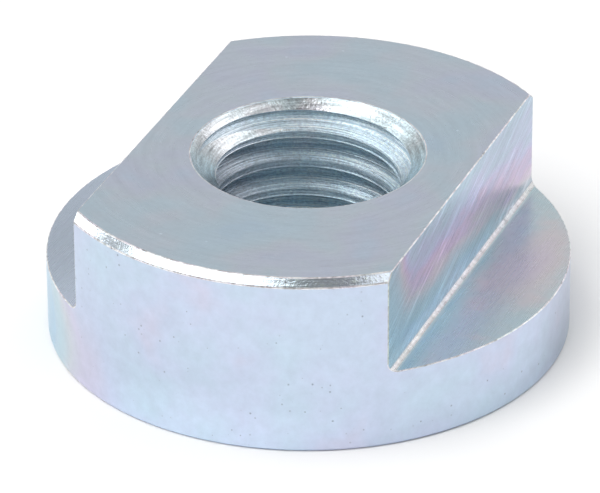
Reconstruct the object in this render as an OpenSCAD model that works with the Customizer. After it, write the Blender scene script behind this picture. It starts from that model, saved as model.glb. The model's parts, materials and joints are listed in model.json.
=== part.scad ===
// Wedge nut: a turned steel disc, milled down on two sides to a tongue with parallel flats.
// The tongue sits in a slot, the flange below it bears behind the slot's lips, and the middle is tapped.
// Origin at the centre of the underside, +Z up through the thread, +Y along the flats. Millimetres.

/* [Blank] */
// Outside diameter of the turned blank
flange_d = 24; // [22:0.5:32]
// Overall height, underside to top face
nut_h = 8.65; // [7.6:0.05:14]
// Leg of the 45 degree chamfer round the top face
top_chamfer = 0.35; // [0.1:0.05:1]
// Radius of the rounded edge round the underside
base_round = 0.2; // [0.1:0.05:0.8]

/* [Milled sides] */
// Width of the tongue across its two flats
across_flats = 15; // [14:0.1:18]
// Thickness of the flange that is left beside the tongue
flange_t = 3.75; // [2.5:0.05:5]
// Radius in the corner between flat and shoulder
corner_r = 0.4; // [0.1:0.05:1]

/* [Thread] */
// Nominal diameter of the thread
thread_d = 10; // [6:1:12]
// Pitch of the thread
thread_pitch = 1.5; // [0.75:0.25:1.75]
// How far the countersink's mouth reaches outside the thread, at both ends
countersink_margin = 0.35; // [0.1:0.05:0.6]

/* [Hidden] */
// Facets of a full circle
$fn = 128;
// Free run of a cut past the surface that it opens
overrun = 1;
// Angle between a thread's two flanks, and the share of the sharp triangle's height that the thread fills
thread_angle = 60;
thread_fill = 5 / 8;
flange_r = flange_d / 2;
flat_x = across_flats / 2;
// Height of the sharp triangle on one pitch, and the radius at the crests of the thread
sharp_h = thread_pitch / 2 / tan(thread_angle / 2);
bore_r = thread_d / 2 - thread_fill * sharp_h;
// A 90 degree countersink is as deep as its mouth is wider than the bore
countersink_r = thread_d / 2 + countersink_margin;
countersink_depth = countersink_r - bore_r;

// Half section of the turned blank: chamfer above, rounded edge below
module blank_section() {
    polygon([
        [0, 0],
        [flange_r - base_round, 0],
        [flange_r - base_round, base_round],
        [flange_r, base_round],
        [flange_r, nut_h - top_chamfer],
        [flange_r - top_chamfer, nut_h],
        [0, nut_h]
    ]);
    translate([flange_r - base_round, base_round]) circle(r = base_round);
}

module blank() {
    rotate_extrude() blank_section();
}

// Section of the milling cut on the +X side, with its round corner at the foot of the flat
module side_cut_section() {
    cut_w = flange_r - flat_x + overrun;
    cut_h = nut_h - flange_t + overrun;
    translate([flat_x, flange_t]) {
        translate([corner_r, 0]) square([cut_w - corner_r, cut_h]);
        translate([0, corner_r]) square([cut_w, cut_h - corner_r]);
        translate([corner_r, corner_r]) circle(r = corner_r);
    }
}

module side_cut() {
    cut_l = flange_d + 2 * overrun;
    rotate([90, 0, 0]) linear_extrude(height = cut_l, center = true) side_cut_section();
}

// Tapped hole, plain at the thread's crests, with the same countersink above and below
module tapped_hole() {
    rotate_extrude() polygon([
        [0, -overrun],
        [countersink_r + overrun, -overrun],
        [bore_r, countersink_depth],
        [bore_r, nut_h - countersink_depth],
        [countersink_r + overrun, nut_h + overrun],
        [0, nut_h + overrun]
    ]);
}

module wedge_nut() {
    color("lightsteelblue") difference() {
        blank();
        side_cut();
        mirror([1, 0, 0]) side_cut();
        tapped_hole();
    }
}

wedge_nut();
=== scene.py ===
import json
import math

import bmesh
import bpy
from mathutils import Matrix, Vector


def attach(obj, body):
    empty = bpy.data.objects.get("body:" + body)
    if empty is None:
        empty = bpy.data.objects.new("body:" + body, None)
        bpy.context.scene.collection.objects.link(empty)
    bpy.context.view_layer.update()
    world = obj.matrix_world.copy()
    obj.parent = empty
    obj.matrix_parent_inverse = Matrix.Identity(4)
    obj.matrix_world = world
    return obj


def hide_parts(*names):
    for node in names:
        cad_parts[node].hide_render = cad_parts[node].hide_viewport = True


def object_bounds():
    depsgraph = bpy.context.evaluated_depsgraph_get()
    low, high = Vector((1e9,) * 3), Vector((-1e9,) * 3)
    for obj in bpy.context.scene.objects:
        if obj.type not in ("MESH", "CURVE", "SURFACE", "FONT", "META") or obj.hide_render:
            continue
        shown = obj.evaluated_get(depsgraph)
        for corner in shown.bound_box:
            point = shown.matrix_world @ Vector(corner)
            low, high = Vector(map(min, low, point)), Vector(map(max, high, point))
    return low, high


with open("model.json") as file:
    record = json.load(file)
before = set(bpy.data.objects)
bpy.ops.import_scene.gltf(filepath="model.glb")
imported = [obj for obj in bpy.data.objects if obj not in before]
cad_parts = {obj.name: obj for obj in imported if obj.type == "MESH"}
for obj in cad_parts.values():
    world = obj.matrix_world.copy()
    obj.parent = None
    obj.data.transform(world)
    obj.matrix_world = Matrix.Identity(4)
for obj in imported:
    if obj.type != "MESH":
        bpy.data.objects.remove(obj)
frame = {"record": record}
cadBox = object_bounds()
mounts = {m["name"]: m for m in frame["record"]["mounts"]}
mm = 0.001

# the nut's main sizes come from the frame, the small edges are repeated from the drawing
nut = {
    "radius": cadBox[1].x,
    "height": cadBox[1].z,
    "flatX": mounts["flat_right"]["pos_m"][0],
    "shoulderZ": mounts["shoulder_right"]["pos_m"][2],
    "boreR": mounts["thread"]["dims"]["r_mm"] * mm,
    "boreLength": mounts["thread"]["dims"]["length_mm"] * mm,
    "topChamfer": 0.35 * mm,
    "baseRound": 0.2 * mm,
    "cornerR": 0.4 * mm,      # foot of the flats
    "edgeBreak": 0.05 * mm,   # tumbled and plated edges
    "edgeDeg": 30.0,          # edges sharper than this are broken
    "edgeSteps": 2,
    "rayStep": 1.8,           # degrees between two rays of the disc
    "cornerSteps": 8,
    "roundSteps": 4,
    "millOver": 1.5,          # the cut reaches to this many times the disc's radius and height
    "mergeGap": 0.004 * mm,   # points closer than this are one after the cut
    "sharpDeg": 32.0,         # folds past this shade as edges
    "exactDeg": 10.0,         # a face this close to its surface takes the surface's own normals
    "blendDeg": 60.0,
}
nut["sinkDepth"] = (nut["height"] - nut["boreLength"]) / 2
nut["mouthR"] = nut["boreR"] + nut["sinkDepth"]
nut["chamferR"] = nut["radius"] - nut["topChamfer"]

view = {
    "azimuth": 21.8,
    "elevation": 29.02,
    "roll": -0.23,
    "distance": 241.6 * mm,
    "aimZ": 4.25 * mm,
    "focalPixels": 5283.5,
    "imageWidth": 600,
    "offsetPixels": (8.48, -10.37),   # where the aim point lies from the image's centre, right and down
    "sensor": 36.0,
    "clip": (0.01, 10),
}


# shape of the nut

def direction(azimuth, elevation):
    # azimuth 0 is the front, -Y, and grows towards +X
    a, e = math.radians(azimuth), math.radians(elevation)
    return Vector((math.sin(a) * math.cos(e), -math.cos(a) * math.cos(e), math.sin(e)))


def addObject(name, data):
    made = bpy.data.objects.new(name, data)
    bpy.context.scene.collection.objects.link(made)
    return made


def addMesh(name, points, faces):
    bm = bmesh.new()
    corners = [bm.verts.new(p) for p in points]
    for face in faces:
        bm.faces.new([corners[i] for i in face])
    bmesh.ops.recalc_face_normals(bm, faces=bm.faces)
    mesh = bpy.data.meshes.new(name)
    bm.to_mesh(mesh)
    bm.free()
    return addObject(name, mesh)


def takeMesh(obj, name):
    # the object's mesh with its modifiers applied, and the object goes
    depsgraph = bpy.context.evaluated_depsgraph_get()
    mesh = bpy.data.meshes.new_from_object(obj.evaluated_get(depsgraph))
    mesh.name = name
    bpy.data.objects.remove(obj)
    return mesh


def arc(centre, radius, fromDeg, toDeg, steps):
    angles = [math.radians(fromDeg + (toDeg - fromDeg) * k / steps) for k in range(steps + 1)]
    return [(centre[0] + radius * math.cos(a), centre[1] + radius * math.sin(a)) for a in angles]


def makeDisc():
    # turned disc with its countersunk bore: one closed section, spun round the axis
    r, h, b, depth = nut["radius"], nut["height"], nut["baseRound"], nut["sinkDepth"]
    section = [(nut["mouthR"], 0.0)] + arc((r - b, b), b, -90, 0, nut["roundSteps"])
    section += [(r, h - nut["topChamfer"]), (nut["chamferR"], h), (nut["mouthR"], h)]
    section += [(nut["boreR"], h - depth), (nut["boreR"], depth)]
    rays = [math.radians(k * nut["rayStep"]) for k in range(round(360 / nut["rayStep"]))]
    points = [(math.cos(a) * x, math.sin(a) * x, z) for a in rays for x, z in section]
    n, total = len(section), len(points)
    faces = [(i * n + j, (i + 1) * n % total + j, (i + 1) * n % total + (j + 1) % n, i * n + (j + 1) % n)
             for i in range(len(rays)) for j in range(n)]
    return addMesh("nutDisc", points, faces)


def makeMillCut(side):
    # the stock that the mill takes off one side: flat, round corner and shoulder
    x, z, c = nut["flatX"], nut["shoulderZ"], nut["cornerR"]
    far, high = nut["radius"] * nut["millOver"], nut["height"] * nut["millOver"]
    section = arc((x + c, z + c), c, 180, 270, nut["cornerSteps"]) + [(far, z), (far, high), (x, high)]
    n = len(section)
    points = [(side * px, y, pz) for y in (-far, far) for px, pz in section]
    faces = [tuple(range(n)), tuple(range(n, 2 * n))]
    faces += [(j, (j + 1) % n, n + (j + 1) % n, n + j) for j in range(n)]
    return addMesh("millCut", points, faces)


def makeBlank():
    blank = makeDisc()
    cuts = [makeMillCut(side) for side in (1, -1)]
    for cut in cuts:
        mill = blank.modifiers.new("mill", "BOOLEAN")
        mill.operation = "DIFFERENCE"
        mill.solver = "MANIFOLD"
        mill.object = cut
    mesh = takeMesh(blank, "nutBlank")
    for cut in cuts:
        bpy.data.objects.remove(cut)
    return addObject("nutBlank", mesh)


thread = {
    "pitch": 1.5 * mm,
    "rootR": 5.0 * mm,
    "rootFlat": 0.19 * mm,    # about an eighth of the pitch
    "innerR": 4.0 * mm,       # the cutter stands this far into the open hole
    "flankDeg": 30.0,
    "crestBreak": 0.02 * mm,  # depth of the broken corners of the crests
    "crestBreakDeg": 58.0,
    "seamDepth": 0.06 * mm,   # fine groove that forming leaves along each crest
    "seamFlat": 0.22 * mm,
    "seamDrop": 0.04 * mm,    # the seam lies this far below the middle of the crest
    "stepsPerTurn": 200,      # on the rays of the disc
    "farCrestDrop": 1.36 * mm,  # first crest below the top face, on the side far from the camera
    "overrun": 1.5 * mm,
}


def addSocket(tree, name, kind, value=None):
    s = tree.interface.new_socket(name, in_out="INPUT", socket_type=kind)
    if value is not None:
        s.default_value = value
    return s.identifier


def threadTree():
    # helical groove swept along a spiral and cut out of the blank
    tree = bpy.data.node_groups.new("cutThread", "GeometryNodeTree")
    ids = {"Blank": addSocket(tree, "Blank", "NodeSocketGeometry")}
    for name in ("Turns", "Pitch", "Path Radius", "Root Radius", "Break Radius", "Inner Radius", "Root Half",
                 "Break Half", "Inner Half", "Start Height", "Start Angle"):
        ids[name] = addSocket(tree, name, "NodeSocketFloat", 0.0)
    ids["Steps"] = addSocket(tree, "Steps", "NodeSocketInt", thread["stepsPerTurn"])
    ids["Finish"] = addSocket(tree, "Finish", "NodeSocketMaterial")
    tree.interface.new_socket("Nut", in_out="OUTPUT", socket_type="NodeSocketGeometry")
    make = tree.nodes.new
    link = tree.links.new
    given = make("NodeGroupInput").outputs
    out = make("NodeGroupOutput")

    def math2(op, a, b):
        node = make("ShaderNodeMath")
        node.operation = op
        for i, value in enumerate((a, b)):
            if isinstance(value, (int, float)):
                node.inputs[i].default_value = value
            else:
                link(value, node.inputs[i])
        return node.outputs[0]

    def vector(x=None, y=None, z=None):
        node = make("ShaderNodeCombineXYZ")
        for i, value in enumerate((x, y, z)):
            if value is not None:
                link(value, node.inputs[i])
        return node.outputs[0]

    spiral = make("GeometryNodeCurveSpiral")
    link(given["Steps"], spiral.inputs["Resolution"])
    link(given["Turns"], spiral.inputs["Rotations"])
    link(given["Path Radius"], spiral.inputs["Start Radius"])
    link(given["Path Radius"], spiral.inputs["End Radius"])
    link(math2("MULTIPLY", given["Turns"], given["Pitch"]), spiral.inputs["Height"])
    spiral.inputs["Reverse"].default_value = True   # a right-hand thread
    upright = make("GeometryNodeSetCurveNormal")
    upright.mode = "Z_UP"
    link(spiral.outputs[0], upright.inputs["Curve"])

    # groove section: flat root outside, open side towards the axis, flanks with a kink at the crest's corner
    section = make("GeometryNodeCurvePrimitiveQuadrilateral")
    section.mode = "POINTS"
    deep = math2("SUBTRACT", given["Root Radius"], given["Path Radius"])
    shallow = math2("SUBTRACT", given["Inner Radius"], given["Path Radius"])
    rootLow = math2("MULTIPLY", given["Root Half"], -1.0)
    innerLow = math2("MULTIPLY", given["Inner Half"], -1.0)
    corners = ((deep, rootLow), (deep, given["Root Half"]),
               (shallow, given["Inner Half"]), (shallow, innerLow))
    for i, (across, along) in enumerate(corners):
        link(vector(across, along), section.inputs[f"Point {i + 1}"])
    halved = make("GeometryNodeSubdivideCurve")
    link(section.outputs[0], halved.inputs["Curve"])
    profile = halved.outputs[0]
    kink = math2("SUBTRACT", given["Break Radius"], given["Path Radius"])
    breakLow = math2("MULTIPLY", given["Break Half"], -1.0)
    for point, along in ((3, given["Break Half"]), (7, breakLow)):   # the flanks' middle points
        chosen = make("FunctionNodeCompare")
        chosen.data_type = "INT"
        chosen.operation = "EQUAL"
        link(make("GeometryNodeInputIndex").outputs[0], chosen.inputs["A"])
        chosen.inputs["B"].default_value = point
        moved = make("GeometryNodeSetPosition")
        link(profile, moved.inputs["Geometry"])
        link(chosen.outputs[0], moved.inputs["Selection"])
        link(vector(kink, along), moved.inputs["Position"])
        profile = moved.outputs[0]
    sweep = make("GeometryNodeCurveToMesh")
    sweep.inputs["Fill Caps"].default_value = True
    link(upright.outputs[0], sweep.inputs["Curve"])
    link(profile, sweep.inputs["Profile Curve"])
    place = make("GeometryNodeTransform")
    link(sweep.outputs[0], place.inputs["Geometry"])
    link(vector(z=given["Start Height"]), place.inputs["Translation"])
    link(vector(z=given["Start Angle"]), place.inputs["Rotation"])
    cut = make("GeometryNodeMeshBoolean")
    cut.operation = "DIFFERENCE"
    cut.solver = "MANIFOLD"
    link(given["Blank"], cut.inputs["Mesh 1"])
    link(place.outputs[0], cut.inputs["Mesh 2"])
    real = make("GeometryNodeRealizeInstances")
    link(cut.outputs["Mesh"], real.inputs[0])
    finish = make("GeometryNodeSetMaterial")
    link(real.outputs[0], finish.inputs["Geometry"])
    link(given["Finish"], finish.inputs["Material"])
    link(finish.outputs[0], out.inputs[0])
    return tree, ids


def cutThread(blank, finish):
    # the same tree cuts the thread itself and then the seam along its crests
    tree, ids = threadTree()
    pitch = thread["pitch"]
    flank = math.tan(math.radians(thread["flankDeg"]))
    corner = math.tan(math.radians(thread["crestBreakDeg"]))
    turns = math.ceil((nut["height"] + 2 * thread["overrun"]) / pitch)
    farAngle = math.radians(round((90 + view["azimuth"]) / nut["rayStep"]) * nut["rayStep"])
    crestZ = nut["height"] - thread["farCrestDrop"]
    grooves = {
        "cutThread": (thread["rootR"], thread["rootFlat"], thread["crestBreak"], corner, crestZ + pitch / 2),
        "cutSeam": (nut["boreR"] + thread["seamDepth"], thread["seamFlat"], thread["seamDepth"] / 2, flank,
                    crestZ - thread["seamDrop"]),
    }
    for name, (rootR, rootFlat, breakDepth, mouth, farZ) in grooves.items():
        breakR = nut["boreR"] + breakDepth
        breakHalf = rootFlat / 2 + (rootR - breakR) * flank
        values = {
            "Turns": float(turns),
            "Pitch": pitch,
            "Path Radius": nut["boreR"],
            "Root Radius": rootR,
            "Break Radius": breakR,
            "Inner Radius": thread["innerR"],
            "Root Half": rootFlat / 2,
            "Break Half": breakHalf,
            "Inner Half": breakHalf + (breakR - thread["innerR"]) * mouth,
            "Start Height": farZ - pitch * math.ceil((farZ + thread["overrun"]) / pitch),
            "Start Angle": farAngle,
            "Steps": thread["stepsPerTurn"],
            "Finish": finish,
        }
        cut = blank.modifiers.new(name, "NODES")
        cut.node_group = tree
        for label, value in values.items():
            cut[ids[label]] = value


def cleanCut(mesh):
    # the cut leaves points a few micrometres apart and faces with many sides
    bm = bmesh.new()
    bm.from_mesh(mesh)
    bmesh.ops.remove_doubles(bm, verts=bm.verts, dist=nut["mergeGap"])
    bmesh.ops.dissolve_degenerate(bm, edges=bm.edges, dist=nut["mergeGap"])
    bmesh.ops.delete(bm, geom=[e for e in bm.edges if not e.link_faces], context="EDGES")
    bmesh.ops.dissolve_verts(bm, verts=[v for v in bm.verts if len(v.link_edges) == 2])
    bmesh.ops.triangulate(bm, faces=[f for f in bm.faces if len(f.verts) > 4],
                          quad_method="BEAUTY", ngon_method="BEAUTY")
    unpaired = sum(len(e.link_faces) != 2 for e in bm.edges)
    bm.to_mesh(mesh)
    bm.free()
    print("edges not shared by two faces:", unpaired)


# how the worked surfaces are told apart: one gap, and shares of a face's normal
sorting = {
    "gap": 0.02 * mm,         # a face this close to a worked surface lies on it
    "level": 0.99,            # turned faces
    "square": 0.999,          # milled faces
    "slope": (0.6, 0.8),      # upward share of the 45 degree faces
    "outward": 0.6,           # the chamfer looks at least this much outwards
    "inward": 0.2,            # and the hole's faces less than this
    "wallRise": 0.02,         # the rim's wall stands this straight
    "edgeRise": 0.3,          # and the broken edges at the ends of the flats this straight
    "cornerFlat": 0.85,       # past these the round corner looks like the flat or the shoulder
    "cornerShoulder": 0.92,
}


def regionOf(face):
    # which worked surface a face belongs to, by its place and the way it looks
    c, n, gap = face.center, face.normal, sorting["gap"]
    r = math.hypot(c.x, c.y)
    out = (c.x * n.x + c.y * n.y) / max(r, 1e-9)
    top, rimR = nut["height"], nut["radius"]
    low, high = sorting["slope"]
    if n.z > sorting["level"] and c.z > top - gap:
        return "top"
    if n.z < -sorting["level"] and c.z < gap:
        return "under"
    if r < nut["mouthR"] and out < sorting["inward"]:
        sink = max(c.z - (top - nut["sinkDepth"]), nut["sinkDepth"] - c.z)
        onCone = sink > 0 and abs(r - nut["boreR"] - sink) < gap and low < abs(n.z) < high
        return "sink" if onCone else "thread"
    if n.z > sorting["square"] and abs(c.z - nut["shoulderZ"]) < gap:
        return "shoulder"
    if abs(n.x) > sorting["square"] and abs(abs(c.x) - nut["flatX"]) < gap:
        return "flat"
    if r > rimR - nut["baseRound"] - gap and c.z < nut["baseRound"] + gap:
        return "rim"
    if abs(n.z) < sorting["wallRise"] and out > sorting["level"] and r > rimR - gap:
        return "rim"
    atChamfer = r > nut["chamferR"] - gap and c.z > top - nut["topChamfer"] - gap
    if atChamfer and low < n.z < high and out > sorting["outward"]:
        return "chamfer"
    if abs(c.x) < nut["flatX"] + nut["cornerR"] and c.z < nut["shoulderZ"] + nut["cornerR"]:
        return "corner"
    atFlat = abs(abs(c.x) - nut["flatX"]) < 2 * nut["edgeBreak"]
    return "upright" if atFlat and abs(n.z) < sorting["edgeRise"] else "edge"


def finishOf(face):
    # only the middle of the round corner takes the corner's paler finish, a painted highlight on top of its
    # real reflection
    region = regionOf(face)
    if region == "corner" and abs(face.normal.x) > sorting["cornerFlat"]:
        return "flat"
    if region == "corner" and face.normal.z > sorting["cornerShoulder"]:
        return "shoulder"
    return region


def surfaceNormal(region, p):
    # exact normal of a worked surface at a point, or nothing for edges and thread
    r = math.hypot(p.x, p.y)
    out, up = Vector((p.x / r, p.y / r, 0)), Vector((0, 0, 1))
    side = math.copysign(1, p.x)
    b, corner = nut["baseRound"], nut["cornerR"]
    if region in ("top", "shoulder"):
        return up
    if region == "under":
        return -up
    if region == "flat":
        return Vector((side, 0, 0))
    if region == "corner":
        return (Vector((side * (nut["flatX"] + corner), p.y, nut["shoulderZ"] + corner)) - p).normalized()
    if region == "rim":
        return (out * (r - nut["radius"] + b) + up * min(p.z - b, 0)).normalized()
    if region == "chamfer":
        return (out + up).normalized()
    if region == "sink":
        return (up * math.copysign(1, p.z - nut["height"] / 2) - out).normalized()
    return None


def setNormals(mesh):
    # flat faces shade flat and round ones round, and the broken edges blend from one into the other
    mesh.shade_smooth()
    mesh.set_sharp_from_angle(angle=math.radians(nut["sharpDeg"]))
    points = [v.co for v in mesh.vertices]
    smooth = [v.normal.copy() for v in mesh.vertices]
    corners = [Vector(c.vector) for c in mesh.corner_normals]
    exact = {}
    blends = []
    for face in mesh.polygons:
        region = regionOf(face)
        ideal = surfaceNormal(region, face.center)
        if ideal and ideal.angle(face.normal) < math.radians(nut["exactDeg"]):
            for loop in face.loop_indices:
                v = mesh.loops[loop].vertex_index
                corners[loop] = surfaceNormal(region, points[v])
                exact.setdefault(v, []).append(corners[loop])
        elif region != "thread":
            blends.append(face)
    for face in blends:
        for loop in face.loop_indices:
            v = mesh.loops[loop].vertex_index
            near = [n for n in exact.get(v, []) if n.angle(face.normal) < math.radians(nut["blendDeg"])]
            corners[loop] = min(near, key=face.normal.angle) if near else smooth[v]
    mesh.normals_split_custom_set(corners)
    print("faces on the broken edges:", len(blends), "of", len(mesh.polygons))


def setFinishes(mesh, finishes):
    mesh.materials.clear()
    slots = {}
    for finish in finishes.values():
        if finish.name not in slots:
            slots[finish.name] = len(slots)
            mesh.materials.append(finish)
    count = dict.fromkeys(finishes, 0)
    for face in mesh.polygons:
        region = finishOf(face)
        count[region] += 1
        face.material_index = slots[finishes[region].name]
    print("faces of each finish:", count)


def makeNut(finishes):
    # edges and thread are evaluated once into a plain mesh
    blank = makeBlank()
    bevel = blank.modifiers.new("edgeBreak", "BEVEL")
    bevel.width = nut["edgeBreak"]
    bevel.segments = nut["edgeSteps"]
    bevel.limit_method = "ANGLE"
    bevel.angle_limit = math.radians(nut["edgeDeg"])
    bevel.use_clamp_overlap = False
    cutThread(blank, finishes["thread"])
    mesh = takeMesh(blank, "wedgeNut")
    cleanCut(mesh)
    setFinishes(mesh, finishes)
    setNormals(mesh)
    return addObject("wedgeNut", mesh)


# finishes of the zinc plate

def put(tree, kind, inputs=None, **settings):
    node = tree.nodes.new(kind)
    for key, value in settings.items():
        setattr(node, key, value)
    for key, value in (inputs or {}).items():
        if isinstance(value, bpy.types.NodeSocket):
            tree.links.new(value, node.inputs[key])
        else:
            node.inputs[key].default_value = value
    return node


def calc(tree, op, a, b=0.0, clamp=False):
    return put(tree, "ShaderNodeMath", {0: a, 1: b}, operation=op, use_clamp=clamp).outputs[0]


def vectorCalc(tree, op, a, b=(0, 0, 0)):
    node = put(tree, "ShaderNodeVectorMath", {0: a, 1: b}, operation=op)
    return node.outputs["Value" if op in ("LENGTH", "DOT_PRODUCT") else "Vector"]


def scaled(tree, vector, times):
    return put(tree, "ShaderNodeVectorMath", {0: vector, "Scale": times}, operation="SCALE").outputs[0]


def combine(tree, x=0.0, y=0.0, z=0.0):
    return put(tree, "ShaderNodeCombineXYZ", {0: x, 1: y, 2: z}).outputs[0]


def ease(tree, value, low, high, fromLow=0.0, fromHigh=1.0, kind="SMOOTHSTEP"):
    return put(tree, "ShaderNodeMapRange", {"Value": value, "From Min": fromLow, "From Max": fromHigh,
                                            "To Min": low, "To Max": high},
               interpolation_type=kind).outputs["Result"]


def softNoise(tree, place, scale, detail, rough, seed):
    # the seed only moves the noise aside
    moved = vectorCalc(tree, "ADD", place, (seed, seed * 0.7, -seed))
    return put(tree, "ShaderNodeTexNoise", {"Vector": moved, "Scale": scale, "Detail": detail,
                                            "Roughness": rough}).outputs["Fac"]


def newGroup(name, inputs, outputs):
    # an input is its name, kind and start value, an output its name and kind
    tree = bpy.data.node_groups.new(name, "ShaderNodeTree")
    kinds = {"value": "NodeSocketFloat", "colour": "NodeSocketColor", "vector": "NodeSocketVector"}
    for label, kind, start in inputs:
        tree.interface.new_socket(label, in_out="INPUT", socket_type=kinds[kind]).default_value = start
    for label, kind in outputs:
        tree.interface.new_socket(label, in_out="OUTPUT", socket_type=kinds[kind])
    return tree, tree.nodes.new("NodeGroupInput").outputs, tree.nodes.new("NodeGroupOutput").inputs


# interference colours of the clear passivation, from a thin film to a thick one
filmStops = (
    (0.00, (0.73, 0.91, 0.92)),
    (0.16, (0.82, 0.90, 0.98)),
    (0.26, (0.87, 0.86, 1.00)),
    (0.38, (1.00, 0.80, 0.92)),
    (0.52, (1.00, 0.90, 0.86)),
    (0.66, (0.83, 0.94, 0.91)),
    (0.80, (0.75, 0.94, 0.93)),
    (0.90, (0.75, 0.93, 0.97)),
    (1.00, (0.58, 0.87, 1.00)),
)


def filmGroup():
    tree, given, out = newGroup(
        "passivationFilm",
        [("Plate", "colour", (0.7, 0.75, 0.8, 1)), ("Thickness", "value", 0.3), ("Strength", "value", 0.5)],
        [("Colour", "colour")])
    ramp = put(tree, "ShaderNodeValToRGB", {"Fac": given["Thickness"]})
    stops = ramp.color_ramp.elements
    for i, (place, colour) in enumerate(filmStops):
        stop = stops[i] if i < 2 else stops.new(place)   # a new ramp has two stops
        stop.position = place
        stop.color = (*colour, 1)
    # 0 is the mix's factor, 6 and 7 are its two colours and 2 is the colour that comes out
    mix = put(tree, "ShaderNodeMix", data_type="RGBA", blend_type="MULTIPLY")
    for socket, source in ((0, given["Strength"]), (6, given["Plate"]), (7, ramp.outputs["Color"])):
        tree.links.new(source, mix.inputs[socket])
    tree.links.new(mix.outputs[2], out["Colour"])
    return tree


pits = {
    "clustersPerMm": 0.35,
    "clusterSpan": (0.35, 0.65),   # between clusters and in their middle
    "crowding": 2.0,               # times the usual share in a cluster
    "sizes": (0.3, 1.4),
    "floor": 0.8,                  # depth at which a pit's floor is reached
}


def pitGroup():
    # scattered small pits in the plating
    tree, given, out = newGroup(
        "platingPits",
        [("Place", "vector", (0, 0, 0)), ("Per mm", "value", 1.0), ("Share", "value", 0.2),
         ("Size", "value", 0.1)],
        [("Pit", "value")])
    cells = put(tree, "ShaderNodeTexVoronoi", {"Vector": given["Place"], "Scale": given["Per mm"]})
    random = put(tree, "ShaderNodeSeparateColor", {"Color": cells.outputs["Color"]}).outputs
    # they lie in loose clusters
    crowd = put(tree, "ShaderNodeTexNoise", {"Vector": given["Place"], "Scale": pits["clustersPerMm"],
                                             "Detail": 1.0}).outputs["Fac"]
    crowd = ease(tree, crowd, 0.0, pits["crowding"], *pits["clusterSpan"])
    chosen = calc(tree, "LESS_THAN", random[0], calc(tree, "MULTIPLY", given["Share"], crowd))
    # each pit has its own size
    size = calc(tree, "MULTIPLY", given["Size"], ease(tree, random[1], *pits["sizes"]))
    inside = calc(tree, "SUBTRACT", 1.0, calc(tree, "DIVIDE", cells.outputs["Distance"], size), True)
    pit = calc(tree, "MULTIPLY", chosen, ease(tree, inside, 0.0, 1.0, 0.0, pits["floor"]))
    tree.links.new(pit, out["Pit"])
    return tree


toolMarks = {"coarse": 1.0, "fine": 3.7, "detail": 2.0, "rough": 0.6}


def markGroup():
    # tool marks: long streaks across one coordinate, which fade along the other two
    tree, given, out = newGroup(
        "toolMarks",
        [("Across", "value", 0.0), ("Along", "vector", (0, 0, 0)), ("Per mm", "value", 4.0)],
        [("Marks", "value"), ("Fine", "value")])
    along = put(tree, "ShaderNodeSeparateXYZ", {0: given["Along"]}).outputs
    for label, times in (("Marks", toolMarks["coarse"]), ("Fine", toolMarks["fine"])):
        across = calc(tree, "MULTIPLY", calc(tree, "MULTIPLY", given["Across"], given["Per mm"]), times)
        streaks = put(tree, "ShaderNodeTexNoise", {"Vector": combine(tree, across, along[0], along[1]),
                                                   "Scale": 1.0, "Detail": toolMarks["detail"],
                                                   "Roughness": toolMarks["rough"]})
        tree.links.new(streaks.outputs["Fac"], out[label])
    return tree


groups = {"film": filmGroup(), "pits": pitGroup(), "marks": markGroup()}
print("shared effects:", sorted(groups))


def useGroup(tree, name, inputs):
    return put(tree, "ShaderNodeGroup", inputs, node_tree=groups[name]).outputs


def nutCoordinates(tree):
    # object place in millimetres, with the radius and the unit direction round the axis
    place = vectorCalc(tree, "MULTIPLY", put(tree, "ShaderNodeTexCoord").outputs["Object"], (1 / mm,) * 3)
    x, y, z = put(tree, "ShaderNodeSeparateXYZ", {0: place}).outputs
    level = combine(tree, x, y)
    return {"place": place, "x": x, "y": y, "z": z,
            "radius": vectorCalc(tree, "LENGTH", level), "around": vectorCalc(tree, "NORMALIZE", level)}


def turnedMarks(tree, at, look):
    # rings round the axis, side by side along the radius or the height
    along = scaled(tree, at["around"], look["markLength"])
    return useGroup(tree, "marks", {"Across": at[look["across"]], "Along": along,
                                    "Per mm": look["marksPerMm"]})


def milledMarks(tree, at, look):
    # straight marks along the flats, which may lean
    lean = math.radians(look["leanDeg"])
    across = calc(tree, "SUBTRACT", calc(tree, "MULTIPLY", at[look["across"]], math.cos(lean)),
                  calc(tree, "MULTIPLY", at["y"], math.sin(lean)))
    along = combine(tree, calc(tree, "MULTIPLY", at["y"], look["markLength"]))
    return useGroup(tree, "marks", {"Across": across, "Along": along, "Per mm": look["marksPerMm"]})


def helixMarks(tree, at, look):
    # marks that run along the thread, the same on both sides of each full turn
    x, y, z = at["x"], at["y"], at["z"]
    turn = calc(tree, "SUBTRACT", calc(tree, "MULTIPLY", z, 2 * math.pi * mm / thread["pitch"]),
                calc(tree, "ARCTAN2", y, x))
    ring = [calc(tree, "MULTIPLY", calc(tree, op, turn), look["marksPerTurn"]) for op in ("COSINE", "SINE")]
    along = combine(tree, ring[1], calc(tree, "MULTIPLY", z, look["markLength"]))
    return useGroup(tree, "marks", {"Across": ring[0], "Along": along, "Per mm": 1.0})


plating = {
    "span": (0.25, 0.75),          # a noise's usual low and high
    "softSpan": (0.3, 0.7),
    "scratchSpan": (0.60, 0.72),   # only the strongest marks are scratches
    "cloud": (3.0, 0.55),          # detail and roughness of each noise
    "streak": (4.0, 0.6),
    "grain": (3.0, 0.65),
    "grainSeed": 3.1,
    "fineDepth": 0.4,              # fine marks, as a share of the coarse ones
    "spotCore": 0.1,               # share of its reach where a spot is full
}


def spotMask(tree, at, spot, reach, share):
    # a soft spot that has faded out at its reach in x, y and z
    off = vectorCalc(tree, "SUBTRACT", at["place"], tuple(spot))
    away = vectorCalc(tree, "LENGTH", vectorCalc(tree, "DIVIDE", off, reach))
    return ease(tree, away, share, 0.0, plating["spotCore"], 1.0)


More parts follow.
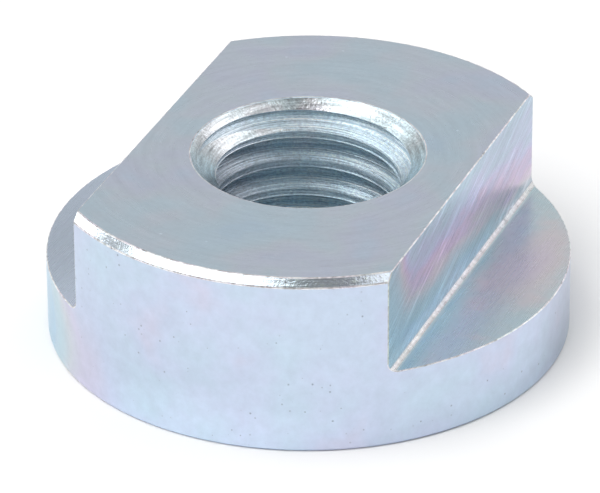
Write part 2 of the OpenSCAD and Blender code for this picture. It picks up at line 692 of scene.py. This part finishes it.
def cloudFilm(tree, at, look):
    # clouds, and soft patches with a film of their own
    clouds = softNoise(tree, at["place"], look["cloudsPerMm"], *plating["cloud"], look["cloudSeed"])
    thick = ease(tree, clouds, *look["film"], *plating["softSpan"], "LINEAR")
    for spot, reach, patch in look["patches"]:
        near = spotMask(tree, at, spot, reach, look["patchShare"])
        thick = calc(tree, "ADD", thick, calc(tree, "MULTIPLY", near, calc(tree, "SUBTRACT", patch, thick)))
    return thick


def flatFilm(tree, at, look):
    # the film thickens down the flat, drawn out in streaks, and is even at the front end
    top, foot = nut["height"] / mm, (nut["shoulderZ"] + nut["cornerR"]) / mm
    down = ease(tree, at["z"], 1.0, 0.0, foot, top, "LINEAR")
    drawn = vectorCalc(tree, "MULTIPLY", at["place"], (1, look["streak"], 1))
    streaks = softNoise(tree, drawn, look["cloudsPerMm"], *plating["streak"], look["cloudSeed"])
    wander = ease(tree, streaks, -look["wander"], look["wander"], *plating["span"], "LINEAR")
    back = ease(tree, at["y"], 1.0, 1 - look["backThin"], *look["backSpan"])
    fall = calc(tree, "MULTIPLY", calc(tree, "POWER", down, look["downPower"]), back)
    thick = calc(tree, "MINIMUM", calc(tree, "ADD", fall, wander, True), look["thickest"])
    front = ease(tree, at["y"], 1.0, 0.0, *look["frontSpan"])
    rest = calc(tree, "MULTIPLY", thick, calc(tree, "SUBTRACT", 1.0, front))
    return calc(tree, "ADD", rest, calc(tree, "MULTIPLY", front, look["frontFilm"]))


def zinc(name, marks, thickness, look):
    mat = bpy.data.materials.new(name)
    mat.use_nodes = True
    tree = mat.node_tree
    shader = tree.nodes["Principled BSDF"]
    shader.inputs["Metallic"].default_value = 1.0
    at = nutCoordinates(tree)
    lines = marks(tree, at, look)
    pit = useGroup(tree, "pits", {"Place": at["place"], "Per mm": look["pitsPerMm"],
                                  "Share": look["pitShare"], "Size": look["pitSize"]})["Pit"]
    grain = softNoise(tree, at["place"], look["grainPerMm"], *plating["grain"], plating["grainSeed"])
    colour = useGroup(tree, "film", {"Plate": (*look["plate"], 1), "Thickness": thickness(tree, at, look),
                                     "Strength": look["filmStrength"]})["Colour"]

    # marks, grain and pits make the plate paler or darker, and spots of painted light and shade lighten or
    # darken it in places
    def swing(value, amount):
        return ease(tree, value, 1 - amount, 1 + amount, *plating["span"], "LINEAR")

    scratch = ease(tree, lines["Marks"], 0.0, look["scratchShade"], *plating["scratchSpan"])
    shade = calc(tree, "ADD", swing(lines["Marks"], look["markShade"]), scratch)
    tone = calc(tree, "MULTIPLY", shade, swing(grain, look["grainShade"]))
    tone = calc(tree, "MULTIPLY", tone, ease(tree, pit, 1.0, 1 - look["pitShade"], kind="LINEAR"))
    # painted light and shade: soft spots that make the plate's colour paler or darker
    for spot, reach, lift in look["paintedLightAndShade"]:
        tone = calc(tree, "MULTIPLY", tone, calc(tree, "ADD", spotMask(tree, at, spot, reach, lift), 1.0))
    tree.links.new(scaled(tree, colour, tone), shader.inputs["Base Color"])
    rough = ease(tree, lines["Fine"], *look["rough"], *plating["softSpan"], "LINEAR")
    tree.links.new(rough, shader.inputs["Roughness"])
    height = calc(tree, "ADD", calc(tree, "MULTIPLY", lines["Marks"], look["markDepth"]),
                  calc(tree, "MULTIPLY", lines["Fine"], look["markDepth"] * plating["fineDepth"]))
    height = calc(tree, "ADD", height, calc(tree, "MULTIPLY", grain, look["grainDepth"]))
    height = calc(tree, "SUBTRACT", height, calc(tree, "MULTIPLY", pit, look["pitDepth"]))
    bump = put(tree, "ShaderNodeBump", {"Strength": 1.0, "Distance": mm, "Height": height})
    tree.links.new(bump.outputs[0], shader.inputs["Normal"])
    return mat


def onRim(azimuth, height):
    return direction(azimuth, 0) * (nut["radius"] / mm) + Vector((0, 0, height))


# lengths are in millimetres, a film past 1 stays at its thickest
# a patch is its spot, reach and film, a spot of painted light and shade its spot, reach and change of tone
plainLook = {"patches": (), "patchShare": 0.9, "paintedLightAndShade": (), "scratchShade": 0.0, "leanDeg": 0.0}
rimLook = {
    **plainLook,
    "plate": (0.62, 0.70, 0.785), "rough": (0.28, 0.32),
    "filmStrength": 0.65, "film": (0.08, 0.35), "cloudsPerMm": 0.22, "cloudSeed": 4.0, "patchShare": 0.95,
    "patches": ((onRim(-34, 4.6), (3.6,) * 3, 0.25), (onRim(-36, 1.0), (4.2,) * 3, 0.38),
                (onRim(27, 6.2), (3.0,) * 3, 0.2), (onRim(-63, 1.5), (6.0,) * 3, 1.25)),
    # painted light along the rim's foot and painted shade at both ends of the rim
    "paintedLightAndShade": ((onRim(-2, 0.3), (9.0, 9.0, 3.0), 0.15), (onRim(-62, 1.5), (6.0,) * 3, -0.08),
               (onRim(98, 2.0), (5.0,) * 3, -0.2)),
    "across": "z", "marksPerMm": 3.0, "markLength": 8.0, "markShade": 0.004, "markDepth": 0.0002,
    "grainPerMm": 1.6, "grainShade": 0.06, "grainDepth": 0.004,
    "pitsPerMm": 2.8, "pitShare": 0.5, "pitSize": 0.15, "pitShade": 0.42, "pitDepth": 0.012,
}
topLook = {
    **plainLook,
    "plate": (0.62, 0.715, 0.815), "rough": (0.26, 0.36),
    "filmStrength": 0.3, "film": (0.15, 0.95), "cloudsPerMm": 0.16, "cloudSeed": 9.0,
    "across": "radius", "marksPerMm": 3.2, "markLength": 3.0, "markShade": 0.045, "markDepth": 0.004,
    "grainPerMm": 4.0, "grainShade": 0.03, "grainDepth": 0.002,
    "pitsPerMm": 1.8, "pitShare": 0.12, "pitSize": 0.14, "pitShade": -0.25, "pitDepth": 0.01,
}
flatLook = {
    **plainLook,
    "plate": (0.615, 0.635, 0.745), "rough": (0.22, 0.36),
    "filmStrength": 1.0, "downPower": 1.45, "thickest": 0.9, "backThin": 0.45, "backSpan": (-1.0, 7.0),
    "frontFilm": 0.8, "frontSpan": (-9.0, -6.0),
    "streak": 0.3, "wander": 0.16, "cloudsPerMm": 0.9, "cloudSeed": 2.0,
    # painted shade at the back of the flat's upper part and painted light across its middle
    "paintedLightAndShade": (((7.5, 6.0, 7.2), (9.0, 7.5, 7.0), -0.15), ((7.5, -1.5, 5.8), (9.0, 5.0, 2.5), 0.1)),
    "across": "z", "leanDeg": 20.0, "marksPerMm": 6.0, "markLength": 0.25, "markShade": 0.18,
    "scratchShade": 0.3, "markDepth": 0.006,
    "grainPerMm": 5.0, "grainShade": 0.04, "grainDepth": 0.002,
    "pitsPerMm": 1.0, "pitShare": 0.05, "pitSize": 0.08, "pitShade": 0.3, "pitDepth": 0.01,
}
shoulderLook = {
    **plainLook,
    "plate": (0.765, 0.80, 0.88), "rough": (0.24, 0.34),
    "filmStrength": 0.9, "film": (0.62, 0.9), "cloudsPerMm": 0.45, "cloudSeed": 6.0, "patchShare": 0.85,
    "patches": (((10.2, 2.0, 3.75), (3.1, 8.4, 9.0), 0.42), ((-11.0, -1.0, 3.75), (20.0, 40.0, 20.0), 0.03)),
    # painted shade on the front of the left shoulder
    "paintedLightAndShade": (((-10.5, -3.0, 3.75), (4.0, 9.0, 9.0), -0.15),),
    "across": "x", "marksPerMm": 4.0, "markLength": 0.3, "markShade": 0.02, "markDepth": 0.0015,
    "grainPerMm": 4.0, "grainShade": 0.03, "grainDepth": 0.002,
    "pitsPerMm": 1.0, "pitShare": 0.05, "pitSize": 0.08, "pitShade": 0.3, "pitDepth": 0.01,
}
chamferLook = {
    **plainLook,
    "plate": (0.88, 0.94, 1.0), "rough": (0.08, 0.18),
    "filmStrength": 0.5, "film": (0.0, 0.25), "cloudsPerMm": 0.3, "cloudSeed": 1.0,
    "across": "radius", "marksPerMm": 9.0, "markLength": 6.0, "markShade": 0.06, "markDepth": 0.006,
    "grainPerMm": 6.0, "grainShade": 0.12, "grainDepth": 0.009,
    "pitsPerMm": 2.0, "pitShare": 0.3, "pitSize": 0.16, "pitShade": 0.4, "pitDepth": 0.02,
}
sinkLook = {
    **plainLook,
    "plate": (0.705, 0.765, 0.82), "rough": (0.12, 0.25),
    "filmStrength": 0.5, "film": (0.45, 0.9), "cloudsPerMm": 0.5, "cloudSeed": 1.0,
    "patches": (((-4.9, 0.8, 8.1), (3.0, 4.0, 3.0), 0.52), ((4.9, 1.2, 8.1), (2.2, 3.0, 3.0), 0.85)),
    # painted shade on the right and the left of the countersink
    "paintedLightAndShade": (((4.0, 2.8, 8.1), (2.2, 2.6, 3.0), -0.28), ((-4.9, 0.8, 8.1), (3.0, 4.0, 3.0), -0.14)),
    "across": "radius", "marksPerMm": 8.0, "markLength": 3.0, "markShade": 0.45, "markDepth": 0.014,
    "grainPerMm": 7.0, "grainShade": 0.24, "grainDepth": 0.024,
    "pitsPerMm": 2.4, "pitShare": 0.2, "pitSize": 0.12, "pitShade": 0.5, "pitDepth": 0.03,
}
# the paler plate paints a highlight along the middle of the round corner, on top of the reflection its shape
# gives
cornerHighlightLook = {
    **plainLook,
    "plate": (0.80, 0.82, 0.84), "rough": (0.22, 0.38),
    "filmStrength": 0.3, "film": (0.2, 0.7), "cloudsPerMm": 0.5, "cloudSeed": 3.0,
    "across": "x", "marksPerMm": 5.0, "markLength": 1.2, "markShade": 0.10, "markDepth": 0.01,
    "grainPerMm": 2.6, "grainShade": 0.3, "grainDepth": 0.011,
    "pitsPerMm": 2.0, "pitShare": 0.2, "pitSize": 0.16, "pitShade": 0.4, "pitDepth": 0.01,
}
edgeLook = {
    **plainLook,
    "plate": (0.86, 0.88, 0.91), "rough": (0.4, 0.55),
    "filmStrength": 0.4, "film": (0.3, 0.7), "cloudsPerMm": 0.6, "cloudSeed": 5.0,
    "across": "z", "marksPerMm": 3.0, "markLength": 20.0, "markShade": 0.1, "markDepth": 0.004,
    "grainPerMm": 3.0, "grainShade": 0.5, "grainDepth": 0.02,
    "pitsPerMm": 1.8, "pitShare": 0.4, "pitSize": 0.3, "pitShade": 0.55, "pitDepth": 0.02,
}
uprightLook = {**edgeLook, "plate": (0.50, 0.56, 0.54), "rough": (0.3, 0.45)}
threadLook = {
    **plainLook,
    "plate": (0.76, 0.855, 0.98), "rough": (0.20, 0.36),
    "filmStrength": 0.5, "film": (0.55, 0.9), "cloudsPerMm": 0.6, "cloudSeed": 7.0,
    "patches": (((-4.2, 0.5, 6.5), (3.5, 5.0, 4.5), 0.52),),
    # painted shade on the left of the thread
    "paintedLightAndShade": (((-4.2, 0.5, 6.5), (3.5, 5.0, 4.5), -0.18),),
    "marksPerTurn": 9.0, "markLength": 1.5, "markShade": 0.42, "scratchShade": 0.6, "markDepth": 0.03,
    "grainPerMm": 7.0, "grainShade": 0.30, "grainDepth": 0.025,
    "pitsPerMm": 2.0, "pitShare": 0.1, "pitSize": 0.1, "pitShade": 0.4, "pitDepth": 0.02,
}

finishes = {
    "rim": zinc("zincRim", turnedMarks, cloudFilm, rimLook),
    "top": zinc("zincTurned", turnedMarks, cloudFilm, topLook),
    "flat": zinc("zincMilled", milledMarks, flatFilm, flatLook),
    "shoulder": zinc("zincShoulder", milledMarks, cloudFilm, shoulderLook),
    "chamfer": zinc("zincBright", turnedMarks, cloudFilm, chamferLook),
    "sink": zinc("zincSink", turnedMarks, cloudFilm, sinkLook),
    "corner": zinc("zincCorner", milledMarks, cloudFilm, cornerHighlightLook),
    "edge": zinc("zincEdge", turnedMarks, cloudFilm, edgeLook),
    "upright": zinc("zincUpright", turnedMarks, cloudFilm, uprightLook),
    "thread": zinc("zincThread", helixMarks, cloudFilm, threadLook),
}
finishes["under"] = finishes["top"]
print("finishes:", sorted({m.name for m in finishes.values()}))

nutPiece = makeNut(finishes)
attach(nutPiece, "root")
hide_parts("wedge_nut")
print("nut mesh:", len(nutPiece.data.vertices), "points,", len(nutPiece.data.polygons), "faces")


# camera, floor and light

def makeCamera():
    data = bpy.data.cameras.new("camera")
    data.sensor_width = view["sensor"]
    data.lens = view["focalPixels"] * view["sensor"] / view["imageWidth"]
    data.shift_x = -view["offsetPixels"][0] / view["imageWidth"]
    data.shift_y = view["offsetPixels"][1] / view["imageWidth"]
    data.clip_start, data.clip_end = view["clip"]
    cam = addObject("camera", data)
    back = direction(view["azimuth"], view["elevation"])
    right = direction(view["azimuth"] + 90, 0)
    up = back.cross(right)
    r = math.radians(view["roll"])
    right, up = math.cos(r) * right + math.sin(r) * up, -math.sin(r) * right + math.cos(r) * up
    place = Vector((0, 0, view["aimZ"])) + back * view["distance"]
    cam.matrix_world = Matrix((
        (right.x, up.x, back.x, place.x),
        (right.y, up.y, back.y, place.y),
        (right.z, up.z, back.z, place.z),
        (0, 0, 0, 1)))
    bpy.context.scene.camera = cam


# softboxes: azimuth and elevation from the nut, size in degrees, radiance
studio = {
    "distance": 0.6,
    "boxes": {
        "leftBox": (-42, 57, 43, 39, 1.7),
        "leftSide": (-94, 27, 16, 30, 1.6),
        "rightWall": (82, 53, 30, 24, 0.75),
        "rightBox": (127, 33, 34, 36, 1.25),
        "fill": (-15, 55, 60, 60, 1.8),
    },
    "unseen": ("fill",),      # lights the floor and isn't mirrored in the metal
    "backGrey": 0.66,
    "frontGrey": 0.21,
    "backElevation": 29,
    "backSpan": (-0.2, 0.8),  # how far round the room the two greys meet
    "horizonGrey": 0.8,
    "horizonDeg": 32,         # where the pale horizon has faded into the room
    "floor": (0.88, 0.88, 0.88),
    "floorRough": 0.9,
    "floorHalf": 3.0,
}


def softbox(name, azimuth, elevation, wide, tall, radiance):
    d = studio["distance"]
    data = bpy.data.lights.new(name, "AREA")
    data.shape = "RECTANGLE"
    data.size = 2 * d * math.tan(math.radians(wide / 2))
    data.size_y = 2 * d * math.tan(math.radians(tall / 2))
    data.energy = radiance * math.pi * data.size * data.size_y
    lamp = addObject(name, data)
    lamp.location = direction(azimuth, elevation) * d
    lamp.rotation_mode = "QUATERNION"
    lamp.rotation_quaternion = (-lamp.location).to_track_quat("-Z", "Y")
    lamp.visible_camera = False
    lamp.visible_glossy = name not in studio["unseen"]


def makeFloor():
    mesh = bpy.data.meshes.new("floor")
    s = studio["floorHalf"]
    mesh.from_pydata([(-s, -s, 0), (s, -s, 0), (s, s, 0), (-s, s, 0)], [], [(0, 1, 2, 3)])
    mat = bpy.data.materials.new("paleFloor")
    mat.use_nodes = True
    shader = mat.node_tree.nodes["Principled BSDF"]
    shader.inputs["Base Color"].default_value = (*studio["floor"], 1)
    shader.inputs["Roughness"].default_value = studio["floorRough"]
    shader.inputs["Specular IOR Level"].default_value = 0.0
    mesh.materials.append(mat)
    floor = addObject("floor", mesh)


def makeRoom():
    # the room is paler behind the nut than behind the camera
    world = bpy.data.worlds.new("studio")
    bpy.context.scene.world = world
    world.use_nodes = True
    tree = world.node_tree
    behind = direction(view["azimuth"] + 180, studio["backElevation"])
    ray = put(tree, "ShaderNodeTexCoord").outputs["Generated"]
    facing = vectorCalc(tree, "DOT_PRODUCT", ray, tuple(behind))
    grey = ease(tree, facing, studio["frontGrey"], studio["backGrey"], *studio["backSpan"])
    rise = put(tree, "ShaderNodeSeparateXYZ", {0: ray}).outputs[2]
    low = ease(tree, rise, studio["horizonGrey"], 0.0, 0.0, math.sin(math.radians(studio["horizonDeg"])))
    tree.links.new(calc(tree, "MAXIMUM", grey, low), tree.nodes["Background"].inputs["Color"])


makeCamera()
makeFloor()
for name, box in studio["boxes"].items():
    softbox(name, *box)
makeRoom()
bpy.context.scene.view_settings.view_transform = "Standard"
print("camera, floor and", len(studio["boxes"]), "softboxes are set")
